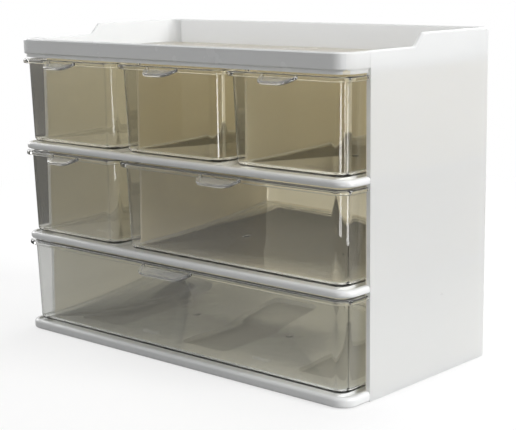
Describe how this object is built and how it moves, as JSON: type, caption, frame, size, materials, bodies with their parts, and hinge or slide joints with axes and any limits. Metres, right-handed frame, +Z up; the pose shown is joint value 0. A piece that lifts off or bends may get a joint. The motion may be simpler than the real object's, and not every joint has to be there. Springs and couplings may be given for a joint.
{
  "type": "desk drawer organizer",
  "caption": "Free-standing white desk organizer with an open tray on top and rows of clear pull-out drawers with sloping finger tabs.",
  "frame": {"origin": "on the ground under the middle of the whole outline, pull tabs included, drawers shut", "axes": "+Z up, -Y towards the drawer fronts, +X to the right seen from the front"},
  "size_m": [0.27, 0.151, 0.2005],
  "materials": {
    "white_shell": "satin white moulding",
    "clear_drawer": "clear polished moulding",
    "rubber": "soft matt"
  },
  "bodies": {
    "cabinet": {"left_side_panel": "white_shell", "right_side_panel": "white_shell", "back_panel": "white_shell", "base_plate": "white_shell", "lower_shelf": "white_shell", "upper_shelf": "white_shell", "top_tray": "white_shell", "middle_divider": "white_shell", "left_upper_divider": "white_shell", "right_upper_divider": "white_shell", "front_left_foot": "rubber", "rear_left_foot": "rubber", "front_right_foot": "rubber", "rear_right_foot": "rubber"},
    "top_left_drawer_body": {"top_left_drawer": "clear_drawer"},
    "top_middle_drawer_body": {"top_middle_drawer": "clear_drawer"},
    "top_right_drawer_body": {"top_right_drawer": "clear_drawer"},
    "middle_left_drawer_body": {"middle_left_drawer": "clear_drawer"},
    "middle_right_drawer_body": {"middle_right_drawer": "clear_drawer"},
    "bottom_drawer_body": {"bottom_drawer": "clear_drawer"}
  },
  "joints": [
    {"name": "top_left_drawer_slide", "type": "slide", "parent": "cabinet", "child": "top_left_drawer_body", "axis": [0, -1, 0], "range_m": [0, 0.0928]},
    {"name": "top_middle_drawer_slide", "type": "slide", "parent": "cabinet", "child": "top_middle_drawer_body", "axis": [0, -1, 0], "range_m": [0, 0.0928]},
    {"name": "top_right_drawer_slide", "type": "slide", "parent": "cabinet", "child": "top_right_drawer_body", "axis": [0, -1, 0], "range_m": [0, 0.0928]},
    {"name": "middle_left_drawer_slide", "type": "slide", "parent": "cabinet", "child": "middle_left_drawer_body", "axis": [0, -1, 0], "range_m": [0, 0.0928]},
    {"name": "middle_right_drawer_slide", "type": "slide", "parent": "cabinet", "child": "middle_right_drawer_body", "axis": [0, -1, 0], "range_m": [0, 0.0928]},
    {"name": "bottom_drawer_slide", "type": "slide", "parent": "cabinet", "child": "bottom_drawer_body", "axis": [0, -1, 0], "range_m": [0, 0.0928]}
  ]
}
